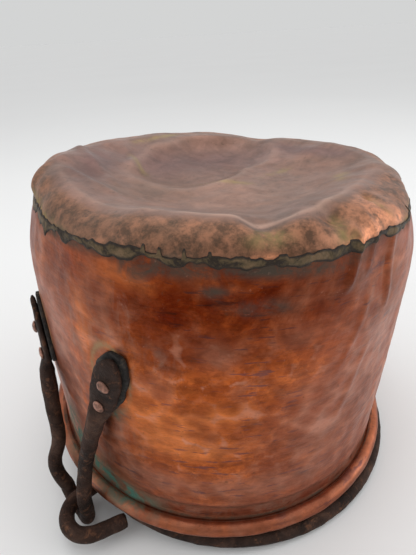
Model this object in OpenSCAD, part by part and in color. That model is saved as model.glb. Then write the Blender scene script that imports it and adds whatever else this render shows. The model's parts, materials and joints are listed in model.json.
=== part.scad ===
// Hammered copper cauldron with two wrought ears and a folded bail, standing upside down.
// Frame: +Z up along the vessel's axis with the base on top, X through the two ears, and the
// origin on the axis in the plane of the ear loops' undersides. The bail is folded towards -Y.

/* [Copper body] */
// Thickness of the copper sheet
sheet = 1.6; // [1.2:0.1:1.8]
// Outer radius of the wall at the base seam
wall_top_r = 128.7; // [127.5:0.1:129.5]
// Outer radius of the wall just above the neck
wall_low_r = 130.8; // [130.2:0.1:131.2]
// Height of the step where the wall bulges over the neck
step_z = 43.5; // [40:0.5:48]
// Outer radius of the recessed neck
neck_r = 129.9; // [129.5:0.1:130.1]
// Outer radius of the rolled lip
lip_r = 140; // [139:0.5:141]
// Radius of the rolled lip's bead
bead_r = 4.5; // [4.2:0.1:4.8]
// Height of the seam between wall and base
seam_z = 224; // [215:1:235]
// Height of the base's crest
crest_z = 235.5; // [234:0.5:238]
// Depth of the pushed-in dish below the crest
dish_depth = 13; // [8:1:20]

/* [Seams] */
// Width of the brazed seams
braze_w = 3; // [2:0.5:4]
// How far the braze stands proud of the copper
braze_proud = 0.4; // [0.2:0.1:0.6]
// Number of cramp tabs round the base seam
cramp_count = 18; // [12:1:24]
// Height of a cramp tab above the base seam
cramp_h = 7; // [5:1:8]
// Direction of the side seam, from +X
side_seam_angle = 60; // [45:5:120]

/* [Ears] */
// Diameter of the ear rod
ear_d = 10; // [9:0.5:10]
// Distance of the ear loop from the axis
loop_x = 146.5; // [146:0.5:147]
// Half the width of the loop, centre to centre
loop_half = 15; // [14:0.5:16]
// Bend radius at the loop's lower corners
loop_bend = 9; // [8:0.5:10]
// Shift of the loop's middle along Y
loop_shift = -12; // [-13:0.5:-11]
// Direction of each foot's middle, from the ear's own axis
foot_angle = 19; // [18.5:0.5:21]
// How much nearer the ear's own axis the rear foot sits
rear_turn = 3.5; // [0:0.5:6]
// Lean of each foot, lower end towards the ear's own axis
foot_lean = 17; // [12:1:20]
// Height of the front foot's middle
foot_z = 137; // [132:1:140]
// How much lower the rear foot sits
rear_drop = 6; // [4:1:10]
// Thickness of the flattened foot
foot_t = 4; // [3:0.1:4.5]
// Thickness of the backing plate
backing_t = 2.5; // [1.5:0.1:3]

/* [Rivets] */
// Diameter of the rivet shank
rivet_d = 5; // [4:0.5:5.5]
// Diameter of the rivet head
head_d = 8; // [7:0.5:9]
// Height of the upper rivet above the foot's middle
rivet_up = 1.5; // [1:0.5:5]
// Height of the lower rivet below the foot's middle
rivet_down = 16.5; // [12:0.5:17]

/* [Bail] */
// Diameter of the bail rod
bail_d = 10.5; // [9.5:0.5:10.5]
// Radius of the bail, to the middle of the rod
bail_r = 126; // [124:0.5:127]
// Radius of the bend from the bail into the ear
bail_bend = 9; // [8:0.5:10]
// Distance of the hook's middle from the axis
hook_x = 145.5; // [145:0.5:146]
// Radius of the hook, to the middle of the rod
hook_r = 15.5; // [15:0.5:16.5]
// Angle by which the hook's tail splays outwards
hook_splay = 17; // [10:1:20]
// Length of the hook's straight tail
tail_len = 21; // [12:1:22]
// Place of the hinge axis along Y
hinge_y = -13; // [-14:0.5:-12]

/* [Hidden] */

$fn = 96;
copper = [0.66, 0.33, 0.2];
base_copper = [0.52, 0.33, 0.26];
braze = [0.2, 0.18, 0.12];
iron = [0.17, 0.13, 0.11];
plate_iron = [0.2, 0.19, 0.18];
rivet_copper = [0.45, 0.27, 0.2];

rod_r = ear_d / 2;
bail_rod_r = bail_d / 2;
hinge_clearance = 1;
rim_gap = 0.35;
hinge_z = ear_d + hinge_clearance + bail_rod_r;
lip_bottom_z = hinge_z + bail_rod_r + rim_gap;
bead_z = lip_bottom_z + bead_r;
bead_mid_r = lip_r - bead_r;
wire_r = bead_r - sheet - 0.1;
arm_drop = 23;
crest_outer_r = wall_top_r - 20;
crest_inner_r = crest_outer_r - 5.5;
rivet_clearance = 0.05;
seat_gap = 0.06;
plate_gap = 0.03;
rivet_tail_t = 1.3;
collar_len = 1.2;
collar_proud = 0.08;

wall_low_z = step_z + 2.5;
wall_top_z = seam_z - braze_w / 2;

// Outer radius of the wall at a height above the step
function wall_r(z) = wall_low_r + (wall_top_r - wall_low_r) * (z - wall_low_z) / (wall_top_z - wall_low_z);
// A point at a given distance from the vessel's axis
function at_radius(r, y, z) = [sqrt(r * r - y * y), y, z];

// A round rod between two points
module rod(p, q, r) {
    d = q - p;
    translate(p) rotate([0, acos(d[2] / norm(d)), atan2(d[1], d[0])]) cylinder(h = norm(d), r = r);
}

// A rod through a list of points, rounded at the inner ones
module bent_rod(points, r) {
    for (i = [0 : len(points) - 2]) rod(points[i], points[i + 1], r);
    for (i = [1 : len(points) - 2]) knuckle(points[i], r);
}

// A slight swelling that covers the joint between two stretches of rod
module knuckle(p, r) {
    translate(p) sphere(r = r + 0.02);
}

// A rod bent to an arc about Z
module arc_rod(bend_r, from, to, r) {
    rotate([0, 0, from]) rotate_extrude(angle = to - from) translate([bend_r, 0]) circle(r = r);
}

// ---- Copper body ----

// The wall's section: rolled lip, neck and wall, as sheet of the given extra thickness
module wall_section(extra = 0) {
    inner = sheet + extra;
    polygon([
        [neck_r - inner, bead_z], [neck_r + 1.2 + extra, bead_z],
        [neck_r + 1.2 + extra, bead_z + bead_r], [neck_r + extra, bead_z + bead_r + 3],
        [neck_r + extra, step_z - 1.5], [wall_low_r + extra, wall_low_z],
        [wall_top_r + extra, wall_top_z], [wall_top_r - inner, wall_top_z],
        [wall_low_r - inner, wall_low_z], [neck_r - inner, step_z - 1.5]]);
}

module lip_section() {
    difference() {
        translate([bead_mid_r, bead_z]) circle(r = bead_r);
        translate([bead_mid_r, bead_z]) circle(r = bead_r - sheet);
        // the slit where the rolled edge comes back to the neck
        translate([bead_mid_r, bead_z]) rotate(118) square([bead_r + 1, 1.2]);
    }
}

module side_seam_wedge() {
    rotate([0, 0, side_seam_angle])
        translate([wall_top_r - 15, -braze_w / 2, step_z + 6]) cube([30, braze_w, seam_z - step_z]);
}

module rivet_holes() {
    for (side = [-1, 1], end = [-1, 1], level = [rivet_up, -rivet_down])
        radial(side, end, lean_angle(end, level))
            translate([wall_top_r - 12, 0, foot_height(end) + level])
            rotate([0, 90, 0]) cylinder(h = 30, d = rivet_d + 2 * rivet_clearance);
}

module side_wall() {
    color(copper) difference() {
        rotate_extrude() {
            wall_section();
            lip_section();
        }
        side_seam_wedge();
        rivet_holes();
    }
}

module side_seam_braze() {
    color(braze) intersection() {
        rotate_extrude() wall_section(braze_proud);
        side_seam_wedge();
    }
}

module rim_wire() {
    color(iron) translate([0, 0, bead_z]) rotate_extrude() translate([bead_mid_r, 0]) circle(r = wire_r);
}

// The base's section: rounded shoulder, flat crest and dished middle, with an optional skirt below
module pan_section(extra = 0, skirt = 0) {
    foot = seam_z + braze_w / 2;
    rise = crest_z - foot;
    steps = 8;
    thick = sheet + extra;
    function shoulder(grow, a) =
        [crest_outer_r + (wall_top_r - crest_outer_r + grow) * cos(a), foot + (rise + grow) * sin(a)];
    function dish(t, drop) =
        [crest_inner_r * t, crest_z - drop - dish_depth * (1 + cos(180 * t)) / 2];
    polygon(concat(
        skirt > 0 ? [[wall_top_r + extra, foot - skirt]] : [],
        [for (i = [0 : steps]) shoulder(extra, 90 * i / steps)],
        [for (i = [0 : steps]) dish(1 - i / steps, -extra)],
        [for (i = [0 : steps]) dish(i / steps, thick)],
        [for (i = [0 : steps]) shoulder(-thick, 90 - 90 * i / steps)],
        skirt > 0 ? [[wall_top_r - thick, foot - skirt]] : []));
}

module cramp_blocks() {
    for (i = [0 : cramp_count - 1]) rotate([0, 0, 360 * (i + 0.5) / cramp_count])
        translate([crest_outer_r + 4, -braze_w / 2, seam_z]) cube([30, braze_w, cramp_h + braze_w / 2]);
}

module base_pan() {
    color(base_copper) difference() {
        rotate_extrude() pan_section();
        cramp_blocks();
    }
}

module base_seam_braze() {
    color(braze) {
        translate([0, 0, seam_z - braze_w / 2]) difference() {
            cylinder(h = braze_w, r = wall_top_r + braze_proud);
            translate([0, 0, -1]) cylinder(h = braze_w + 2, r = wall_top_r - sheet - braze_proud);
        }
        intersection() {
            rotate_extrude() pan_section(braze_proud, braze_w / 2);
            cramp_blocks();
        }
    }
}

// ---- Ears, backing plates and rivets: side is 1 on the right, end is -1 at the front ----

function foot_height(end) = foot_z - (end > 0 ? rear_drop : 0);
function foot_turn(end) = foot_angle - (end > 0 ? rear_turn : 0);

// Direction, from the ear's own axis, of the foot's leaning centreline at a level from its middle
function lean_angle(end, level) = foot_turn(end) + level * tan(foot_lean) / wall_low_r * 180 / PI;

module radial(side, end, turn) {
    mirror([side < 0 ? 1 : 0, 0, 0]) rotate([0, 0, end * turn]) children();
}

// A curved plate lying on the wall, with the outline of its children
module wall_plate(side, end, inside, outside) {
    zc = foot_height(end);
    low = zc - 40;
    high = zc + 40;
    intersection() {
        rotate_extrude() polygon([
            [wall_r(low) + inside, low], [wall_r(low) + outside, low],
            [wall_r(high) + outside, high], [wall_r(high) + inside, high]]);
        radial(side, end, foot_turn(end)) translate([100, 0, zc]) rotate([90, 0, 90]) linear_extrude(height = 60)
            mirror([end > 0 ? 1 : 0, 0]) rotate(foot_lean) children();
    }
}

module foot_outline() {
    polygon([[-5, -28], [5, -28], [8.5, -20], [10, -8], [10, 4], [8, 13], [3, 22],
        [-3, 22], [-8, 13], [-10, 4], [-10, -8], [-8.5, -20]]);
}

module backing_outline() {
    polygon([[-6, -21], [7.5, -23], [11.5, -19], [11.5, -9], [10.8, 3], [9.6, 12], [6.5, 20],
        [2.5, 23.5], [-4, 23.8], [-8.8, 17], [-11.2, 6], [-11, -6], [-8.5, -15]]);
}

module ear_foot(end) {
    difference() {
        wall_plate(1, end, backing_t, backing_t + foot_t) foot_outline();
        rivet_holes();
    }
}

// An ear on the right-hand side: a flat-bottomed loop, two arms kinked round the lip, two feet
module ear() {
    corner = loop_half - loop_bend;
    loop_top = rod_r + loop_bend;
    arm_end_r = wall_low_r + backing_t + rod_r + 0.3;
    function arm_end_angle(end) = lean_angle(end, -arm_drop);
    function arm_end(end) = [
        arm_end_r * cos(arm_end_angle(end)), end * arm_end_r * sin(arm_end_angle(end)),
        foot_height(end) - arm_drop];
    rod([loop_x, loop_shift - corner, rod_r], [loop_x, loop_shift + corner, rod_r], rod_r);
    translate([loop_x, loop_shift - corner, loop_top]) rotate([90, 0, 90]) arc_rod(loop_bend, 180, 270, rod_r);
    translate([loop_x, loop_shift + corner, loop_top]) rotate([90, 0, 90]) arc_rod(loop_bend, 270, 360, rod_r);
    bent_rod([
        [loop_x, loop_shift - loop_half, loop_top], [loop_x - 0.5, loop_shift - loop_half + 0.5, 36],
        at_radius(143, -24, 54), at_radius(139.5, -29, 82), arm_end(-1)], rod_r);
    bent_rod([
        [loop_x, loop_shift + loop_half, loop_top], at_radius(149.3, 8.5, 24), at_radius(148.5, 12, 35),
        at_radius(142.2, 12.5, 52), at_radius(139.5, 18.5, 78), arm_end(1)], rod_r);
    // short collars over the joints between the loop and the arms
    for (end = [-1, 1]) translate([loop_x, loop_shift + end * loop_half, loop_top - collar_len / 2])
        cylinder(h = collar_len, r = rod_r + collar_proud);
    ear_foot(-1);
    ear_foot(1);
}

module left_ear() { color(iron) mirror([1, 0, 0]) ear(); }
module right_ear() { color(iron) ear(); }

module backing_plate(side, end) {
    color(plate_iron) difference() {
        wall_plate(side, end, plate_gap, backing_t) backing_outline();
        rivet_holes();
    }
}

module left_front_backing_plate() { backing_plate(-1, -1); }
module left_rear_backing_plate() { backing_plate(-1, 1); }
module right_front_backing_plate() { backing_plate(1, -1); }
module right_rear_backing_plate() { backing_plate(1, 1); }

module rivet(side, end, level) {
    z = foot_height(end) + level;
    seat = wall_r(z) + backing_t + foot_t + seat_gap;
    inside = wall_r(z) - sheet - 1.5 * seat_gap;
    color(rivet_copper) radial(side, end, lean_angle(end, level)) translate([0, 0, z]) rotate([0, 90, 0]) {
        translate([0, 0, inside - rivet_tail_t]) cylinder(h = rivet_tail_t, d = head_d - 1);
        translate([0, 0, inside - 0.5]) cylinder(h = seat - inside + 1, d = rivet_d);
        translate([0, 0, seat]) cylinder(h = 0.9, d = head_d);
        translate([0, 0, seat + 0.9]) cylinder(h = 1, d1 = head_d, d2 = head_d * 0.6);
    }
}

module left_front_upper_rivet() { rivet(-1, -1, rivet_up); }
module left_front_lower_rivet() { rivet(-1, -1, -rivet_down); }
module left_rear_upper_rivet() { rivet(-1, 1, rivet_up); }
module left_rear_lower_rivet() { rivet(-1, 1, -rivet_down); }
module right_front_upper_rivet() { rivet(1, -1, rivet_up); }
module right_front_lower_rivet() { rivet(1, -1, -rivet_down); }
module right_rear_upper_rivet() { rivet(1, 1, rivet_up); }
module right_rear_lower_rivet() { rivet(1, 1, -rivet_down); }

// ---- Bail: a half circle on the hinge axis, turned out through each ear and hooked round it ----

// A short forged collar over the joint between two stretches of the bail's rod, which runs along
// the given direction there
module collar(at, direction) {
    half = collar_len / 2 * [cos(direction), sin(direction), 0];
    rod(at - half, at + half, bail_rod_r + collar_proud);
}

module bail_end() {
    bend_x = sqrt(pow(bail_r + bail_bend, 2) - pow(bail_bend, 2));
    approach = asin(bail_bend / (bail_r + bail_bend));
    last = -90 + hook_splay;
    tail_start = [hook_x + hook_r * cos(last), -hook_r + hook_r * sin(last), 0];
    translate([bend_x, -bail_bend, 0]) arc_rod(bail_bend, 90, 180 - approach, bail_rod_r);
    rod([bend_x, 0, 0], [hook_x, 0, 0], bail_rod_r);
    translate([hook_x, -hook_r, 0]) arc_rod(hook_r, last, 90, bail_rod_r);
    rod(tail_start, tail_start + tail_len * [-cos(hook_splay), -sin(hook_splay), 0], bail_rod_r);
    collar([bend_x, 0, 0], 0);
    collar([hook_x, 0, 0], 0);
    collar(tail_start, hook_splay);
    collar([bail_r * cos(approach), -bail_r * sin(approach), 0], 90 - approach);
}

module bail() {
    approach = asin(bail_bend / (bail_r + bail_bend));
    color(iron) translate([0, hinge_y, hinge_z]) {
        arc_rod(bail_r, 180 + approach, 360 - approach, bail_rod_r);
        bail_end();
        mirror([1, 0, 0]) bail_end();
    }
}

side_wall();
base_pan();
base_seam_braze();
side_seam_braze();
rim_wire();
left_ear();
right_ear();
left_front_backing_plate();
left_rear_backing_plate();
right_front_backing_plate();
right_rear_backing_plate();
left_front_upper_rivet();
left_front_lower_rivet();
left_rear_upper_rivet();
left_rear_lower_rivet();
right_front_upper_rivet();
right_front_lower_rivet();
right_rear_upper_rivet();
right_rear_lower_rivet();
bail();
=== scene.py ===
"""Looks of the copper cauldron: hammered and dented sheet, brazed seam, forged iron, floor and light."""

import json
import math

import bpy
import numpy as np
from mathutils import Matrix, Vector


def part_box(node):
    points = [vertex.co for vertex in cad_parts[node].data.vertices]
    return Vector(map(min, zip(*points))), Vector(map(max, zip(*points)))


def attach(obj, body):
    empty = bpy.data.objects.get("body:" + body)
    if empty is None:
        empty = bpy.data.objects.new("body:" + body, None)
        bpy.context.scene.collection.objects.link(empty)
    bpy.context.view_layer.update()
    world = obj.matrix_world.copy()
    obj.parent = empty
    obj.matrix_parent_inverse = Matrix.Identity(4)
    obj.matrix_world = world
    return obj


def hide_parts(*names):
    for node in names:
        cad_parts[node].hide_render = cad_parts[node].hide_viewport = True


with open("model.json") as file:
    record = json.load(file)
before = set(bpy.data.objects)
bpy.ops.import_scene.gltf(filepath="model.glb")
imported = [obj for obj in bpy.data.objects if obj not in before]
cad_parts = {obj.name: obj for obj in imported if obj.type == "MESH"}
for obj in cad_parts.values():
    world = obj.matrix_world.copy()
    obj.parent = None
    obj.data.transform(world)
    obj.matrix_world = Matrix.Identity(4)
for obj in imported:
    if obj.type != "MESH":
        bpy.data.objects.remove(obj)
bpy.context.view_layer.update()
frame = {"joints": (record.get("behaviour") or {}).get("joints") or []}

MM = 0.001
COLUMNS = 512  # points round the pot

# Copper body, in mm
WALL_TOP_R = 128.7
WALL_LOW_R = 130.8
STEP_Z = 43.5
NECK_R = 129.9
SHEET = 1.6
LIP_LOW_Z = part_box("side_wall")[0].z / MM
LIP_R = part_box("side_wall")[1].x / MM
LIP_THICK = 9.15
LIP_TOP_Z = LIP_LOW_Z + LIP_THICK
SEAM_Z = 224.0
DISH_Z = 211.5
DISH_TILT = 0.03
DISH_HIGH_AZ = -50

# Ears and feet, in mm
ROD_R = 5.0
LOOP_X = 146.5
LOOP_HALF = 15.0
LOOP_BEND = 9.0
LOOP_SHIFT = -12.0
FOOT_ANGLE = {-1: 19.0, 1: 15.5}
FOOT_LEAN = math.radians(17.0)
FOOT_Z = {-1: 137.0, 1: 131.0}
FOOT_T = 4.0
BACKING_T = 2.5
RIVET_LEVELS = {"upper": 1.5, "lower": -16.5}
RIVET_R = 4.0
SIDES = {"left": -1, "right": 1}
ENDS = {"front": -1, "rear": 1}

# Bail, in mm
BAIL_ROD_R = 5.25
BAIL_R = 126.0
BAIL_BEND = 9.0
HOOK_X = 145.5
HOOK_R = 15.5
HOOK_SPLAY = math.radians(17.0)
TAIL_LEN = 21.0
HINGE_Y = frame["joints"][0]["pos_m"][1] / MM
HINGE_Z = frame["joints"][0]["pos_m"][2] / MM


# ---- Noise and shapes that repeat round the pot ----

def ease(t):
    t = np.clip(t, 0.0, 1.0)
    return t * t * (3 - 2 * t)


def grid_place(u, v, cols, rows):
    """Places on a grid of cells, and the cells. u is the turn from 0 to 1 and wraps; v runs from 0 to 1."""
    x = np.mod(u, 1.0) * cols
    y = np.clip(v, 0, 1) * rows
    return x, y, np.floor(x).astype(int), np.floor(y).astype(int)


def smooth_noise(u, v, cols, rows, seed):
    """Smooth noise from -1 to 1."""
    table = np.random.default_rng(seed).uniform(-1, 1, (rows + 2, cols))
    x, y, ix, iy = grid_place(u, v, cols, rows)
    fx = ease(x - ix)
    fy = ease(y - iy)
    low = table[iy, ix % cols] * (1 - fx) + table[iy, (ix + 1) % cols] * fx
    high = table[iy + 1, ix % cols] * (1 - fx) + table[iy + 1, (ix + 1) % cols] * fx
    return low * (1 - fy) + high * fy


def hammer_marks(u, v, cols, rows, seed):
    """Depth from 0 to 1 of round hammer marks, with thin ridges between them."""
    table = np.random.default_rng(seed).uniform(0.12, 0.88, (rows + 3, cols, 2))
    x, y, ix, iy = grid_place(u, v, cols, rows)
    nearest = np.full(np.shape(x), 9.0)
    for dx in (-1, 0, 1):
        for dy in (-1, 0, 1):
            spot = table[np.clip(iy + dy + 1, 0, rows + 2), (ix + dx) % cols]
            away = np.hypot(ix + dx + spot[..., 0] - x, iy + dy + spot[..., 1] - y)
            nearest = np.minimum(nearest, away)
    return np.clip(1 - (nearest / 0.72) ** 2, 0, 1)


def turn_of(az):
    """Azimuth in degrees, 0 at the front (-Y) and -90 at the left ear, as a turn from 0 to 1."""
    return np.mod(az / 360.0, 1.0)


def az_gap(az, other):
    return np.mod(az - other + 180.0, 360.0) - 180.0


def near_az(az, at, half_turn):
    """A soft band of height 1 round an azimuth."""
    return np.exp(-(az_gap(az, at) / half_turn) ** 2)


def blob(az, z, centre):
    """A soft round patch of height 1: centre is (azimuth, z, half width in degrees, half height in mm)."""
    at, height, half_turn, half_z = centre
    return np.exp(-((az_gap(az, at) / half_turn) ** 2) - ((z - height) / half_z) ** 2)


def ring_curve(points, az):
    """A smooth closed curve through (azimuth, value) points."""
    at, value = np.array(points, float).T
    at = np.concatenate([at - 360, at, at + 360])
    value = np.tile(value, 3)
    a = az_gap(az, 0)
    i = np.clip(np.searchsorted(at, a) - 1, 0, len(at) - 2)
    t = ease((a - at[i]) / (at[i + 1] - at[i]))
    return value[i] * (1 - t) + value[i + 1] * t


def place(az, r, z):
    """Points in mm from azimuth in degrees, radius and height."""
    a = np.radians(az)
    return np.stack(np.broadcast_arrays(r * np.sin(a), -r * np.cos(a), z), -1)


# ---- The copper sheet's surface ----

WALL_DENTS = [  # azimuth, z, half width, half height, depth in mm
    (-3, 208, 8, 22, 4.0), (-16, 222, 3.5, 9, 1.2), (8, 150, 10, 30, 1.5), (-86, 178, 9, 26, 1.6),
    (-103, 120, 12, 30, 1.4), (-48, 90, 14, 20, 0.7), (-30, 140, 12, 22, 0.6), (95, 120, 18, 40, 2.0),
    (150, 170, 14, 25, 2.4), (-150, 100, 16, 30, 1.6),
]
WALL_CREASES = [  # azimuth at the top, azimuth lower down, z from, z to, height in mm
    (-11.5, -15.5, 236, 196, 2.2), (-6.5, -8.5, 232, 200, 1.4), (1.5, 0.5, 225, 170, 1.4),
    (-6, -14, 196, 140, 0.7), (-2, -12, 165, 95, 0.6),
]


FEET = [(side * 90 + side * end * angle, FOOT_Z[end])  # azimuth and height of each foot
        for side in (-1, 1) for end, angle in FOOT_ANGLE.items()]


def under_feet(az, z):
    """1 where the wall carries an ear's foot, so that no dent opens a gap there."""
    near = [ease(1.8 - np.hypot(az_gap(az, at) / 9, (z - height) / 32)) for at, height in FEET]
    return np.clip(sum(near), 0, 1)


def out_of_round(az, z):
    """The lip and the neck are pushed in near the left ear and at the right."""
    sides = 2.6 * near_az(az, -106, 30) + 1.8 * near_az(az, 42, 26)
    return -sides * ease((98 - z) / 50)


def wall_marks(az, z):
    v = (z - STEP_Z) / (SEAM_Z - STEP_Z)
    return hammer_marks(turn_of(az) + 0.002 * np.sin(z / 9), v, 68, 15, 5)


def wall_offset(az, z):
    """How far the hammered wall lies off its smooth radius, in mm."""
    u = turn_of(az)
    v = (z - STEP_Z) / (SEAM_Z - STEP_Z)
    inside = ease((z - STEP_Z - 3) / 14) * (0.35 + 0.65 * ease((SEAM_Z - 6 - z) / 26))
    strength = 0.5 + 0.5 * ease(0.5 + 0.9 * smooth_noise(u, v, 9, 4, 11))
    strength = strength * (0.55 + 0.45 * near_az(az, -55, 34))
    offset = -0.42 * wall_marks(az, z) * strength * inside
    offset += 0.10 * smooth_noise(u, v, 150, 34, 6) * inside
    offset += 0.75 * smooth_noise(u, v, 12, 4, 7) * ease((z - 60) / 40)
    for at, height, half_turn, half_z, depth in WALL_DENTS:
        offset -= depth * blob(az, z, (at, height, half_turn, half_z))
    for at, lower, top, bottom, height in WALL_CREASES:
        t = (top - z) / (top - bottom)
        line = at + (lower - at) * np.clip(t, 0, 1)
        offset += height * near_az(az, line, 1.1) * ease(4 * t) * ease(4 * (1 - t))
    return offset * (1 - under_feet(az, z))


# The pot is out of true: its top leans back and its sides are pushed in, as (azimuth, mm) round the pot
SEAM_RADII = [(-160, 124), (-130, 121), (-110, 119.5), (-90, 123), (-70, 126), (-44, 126.5), (-20, 126.5),
              (0, 125), (10, 122), (20, 118), (35, 115), (50, 118), (65, 122), (90, 125), (130, 126)]
SEAM_HEIGHTS = [(-160, 209), (-130, 212), (-100, 215.5), (-80, 219.5), (-58, 222.5), (-35, 221), (-18, 222),
                (0, 221), (12, 218), (30, 216), (60, 212), (90, 207), (125, 202), (165, 205)]
CREST_HEIGHTS = [(-160, 223), (-145, 226), (-128, 231), (-105, 233), (-80, 230), (-62, 235), (-42, 236),
                 (-29, 232), (-18, 236), (-8, 234), (5, 232), (22, 230), (40, 227), (60, 223.5), (80, 221.5),
                 (100, 216.5), (122, 213.5), (150, 216.5), (178, 219)]
CREST_RADII = [(-160, 98), (-125, 101), (-105, 104), (-80, 105), (-40, 107), (-22, 106), (-8, 97), (5, 92),
               (22, 91), (40, 97), (64, 102), (110, 100), (160, 98)]
BEND_Z = 172.0  # height where the wall starts to curve in towards the base


def seam_height(az):
    return ring_curve(SEAM_HEIGHTS, az)


def wall_radius(az, z):
    t = (z - STEP_Z) / (SEAM_Z - STEP_Z)
    plain_r = WALL_LOW_R + (WALL_TOP_R - WALL_LOW_R) * t
    bend = np.clip((z - BEND_Z) / (seam_height(az) - BEND_Z), 0, 1.1) ** 2
    pushed = (ring_curve(SEAM_RADII, az) - WALL_TOP_R) * bend
    return plain_r + pushed + wall_offset(az, z) + out_of_round(az, z)


BASE_DENTS = [  # azimuth, radius, half size in mm, depth in mm
    (-16, 114, 8, 6.4), (-35, 109, 8.5, 5.0), (-26, 115, 7, -2.4), (2, 105, 3.2, 2.2), (12, 112, 12, 1.5),
    (-70, 112, 12, 1.5), (-118, 84, 13, 3.2), (-95, 92, 11, -1.6), (-165, 78, 16, 2.5), (170, 52, 22, -2.2),
    (-140, 60, 12, 1.6), (60, 85, 14, 2.0), (25, 104, 10, 1.8), (-100, 116, 9, 2.0), (120, 108, 14, 2.6),
]
BASE_FOLDS = [  # from (x, y) to (x, y), half width, height, all in mm
    ((-107, 46), (-84, 58), 4.0, 2.2), ((-60, 80), (-68, 30), 4.5, 2.4), ((-92, 30), (-84, 2), 4.5, 1.8),
    ((-22, 80), (-34, 52), 4.5, 2.0), ((36, 82), (64, 66), 5.0, 1.8), ((-30, -76), (30, -70), 9.0, 0.6),
]
BOWL = (18, 40, 57, 38, 4.4)  # the basin at the back: centre, half sizes across and along, depth in mm


def fold(x, y, start, end, half):
    """A soft straight ridge of height 1 from start to end."""
    sx, sy = start
    ex, ey = end
    length = math.hypot(ex - sx, ey - sy)
    along = ((x - sx) * (ex - sx) + (y - sy) * (ey - sy)) / length
    across = ((y - sy) * (ex - sx) - (x - sx) * (ey - sy)) / length
    past = np.maximum(0, np.maximum(-along, along - length))
    return np.exp(-(across / half) ** 2 - (past / (2 * half)) ** 2)


def bowl_reach(x, y):
    """Distance from the middle of the basin, 1 along its wandering edge."""
    turn = np.arctan2(y - BOWL[1], x - BOWL[0])
    wander = 1 + 0.10 * np.sin(2 * turn + 0.6) + 0.07 * np.sin(3 * turn + 2.1) + 0.03 * np.sin(7 * turn)
    return np.hypot((x - BOWL[0]) / BOWL[2], (y - BOWL[1]) / BOWL[3]) / wander


def base_point(az, q):
    """The base's outer surface: q is 0 at the middle, 1 at the crest and 2 at the seam."""
    crest_z = ring_curve(CREST_HEIGHTS, az)
    crest_r = ring_curve(CREST_RADII, az)
    seam_z = seam_height(az)
    seam_r = wall_radius(az, seam_z)
    dish = np.clip(q, 0, 1)
    phi = np.clip(q - 1, 0, 1) * math.pi / 2
    a = np.radians(az)
    climb = np.clip((dish - 0.42) / 0.58, 0, 1)
    rise = 0.6 * ease(climb) + 0.4 * climb ** 2.2
    floor_z = DISH_Z + DISH_TILT * crest_r * dish * np.cos(a - math.radians(DISH_HIGH_AZ))
    z_dish = floor_z + (crest_z - floor_z) * rise
    z = np.where(q <= 1, z_dish, seam_z + (crest_z - seam_z) * np.cos(phi) ** 0.9)
    r = np.where(q <= 1, crest_r * dish, crest_r + (seam_r - crest_r) * np.sin(phi))
    x = r * np.sin(a)
    y = -r * np.cos(a)
    u = turn_of(az)
    v = np.clip(r / 130, 0, 1)
    sink = 0.55 * smooth_noise(x / 260 + 0.5, y / 260 + 0.5, 13, 13, 21)
    sink += 0.22 * smooth_noise(x / 260 + 0.5, y / 260 + 0.5, 37, 37, 22)
    sink += 0.20 * hammer_marks(u, v, 44, 9, 23) * ease((r - 60) / 40)
    for at, radius, half, depth in BASE_DENTS:
        cx = radius * math.sin(math.radians(at))
        cy = -radius * math.cos(math.radians(at))
        sink += depth * np.exp(-((x - cx) ** 2 + (y - cy) ** 2) / half ** 2)
    for start, end, half, height in BASE_FOLDS:
        sink -= height * fold(x, y, start, end, half)
    reach = bowl_reach(x, y)
    sink += BOWL[4] * ease((1.12 - reach) / 0.42) - 0.8 * np.exp(-((reach - 1.12) / 0.12) ** 2)
    sink = sink * ease((2 - q) / 0.25)
    up = np.cos(phi)
    out = np.sin(phi)
    return np.stack([x - sink * out * np.sin(a), y + sink * out * np.cos(a), z - sink * up], -1)


# ---- Mesh building ----

def put(name, data):
    obj = bpy.data.objects.new(name, data)
    bpy.context.scene.collection.objects.link(obj)
    return obj


def new_piece(name, points, faces, material):
    mesh = bpy.data.meshes.new(name)
    mesh.from_pydata((np.asarray(points) * MM).tolist(), [], faces)
    mesh.validate()
    mesh.update()
    mesh.shade_smooth()
    mesh.materials.append(material)
    return put(name, mesh)


def grid_faces(rows, cols, wrap_rows=False, wrap_cols=True, start=0):
    """Quads between rows x cols points, counted row by row from start."""
    faces = []
    for i in range(rows if wrap_rows else rows - 1):
        low = start + i * cols
        high = start + ((i + 1) % rows) * cols
        for j in range(cols if wrap_cols else cols - 1):
            k = (j + 1) % cols
            faces.append((low + j, low + k, high + k, high + j))
    return faces


def closed_faces(rows, cols):
    """Quads between the rows and a fan over each end, to two middle points that come last."""
    last, middle = (rows - 1) * cols, rows * cols
    faces = grid_faces(rows, cols)
    faces += [(middle, (j + 1) % cols, j) for j in range(cols)]
    return faces + [(middle + 1, last + j, last + (j + 1) % cols) for j in range(cols)]


def paint(obj, name, values):
    """Stores a number for each point, which the materials read as a mask."""
    layer = obj.data.attributes.new(name, "FLOAT", "POINT")
    layer.data.foreach_set("value", np.clip(values, 0, 1).astype(np.float32).ravel())


def finish_piece(obj, body, slot, *nodes):
    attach(obj, body)
    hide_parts(*nodes)


def lengths(path):
    return np.concatenate([[0], np.cumsum(np.linalg.norm(np.diff(path, axis=0), axis=1))])


def catmull(points, step):
    """A smooth curve through the points, with a point about every step mm."""
    p = np.array(points, float)
    p = np.vstack([2 * p[0] - p[1], p, 2 * p[-1] - p[-2]])
    out = []
    for i in range(1, len(p) - 2):
        n = max(2, int(np.linalg.norm(p[i + 1] - p[i]) / step))
        for t in np.arange(n) / n:
            out.append(0.5 * (2 * p[i] + (p[i + 1] - p[i - 1]) * t
                              + (2 * p[i - 1] - 5 * p[i] + 4 * p[i + 1] - p[i + 2]) * t ** 2
                              + (3 * p[i] - p[i - 1] - 3 * p[i + 1] + p[i + 2]) * t ** 3))
    out.append(p[-2])
    return np.array(out)


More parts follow.
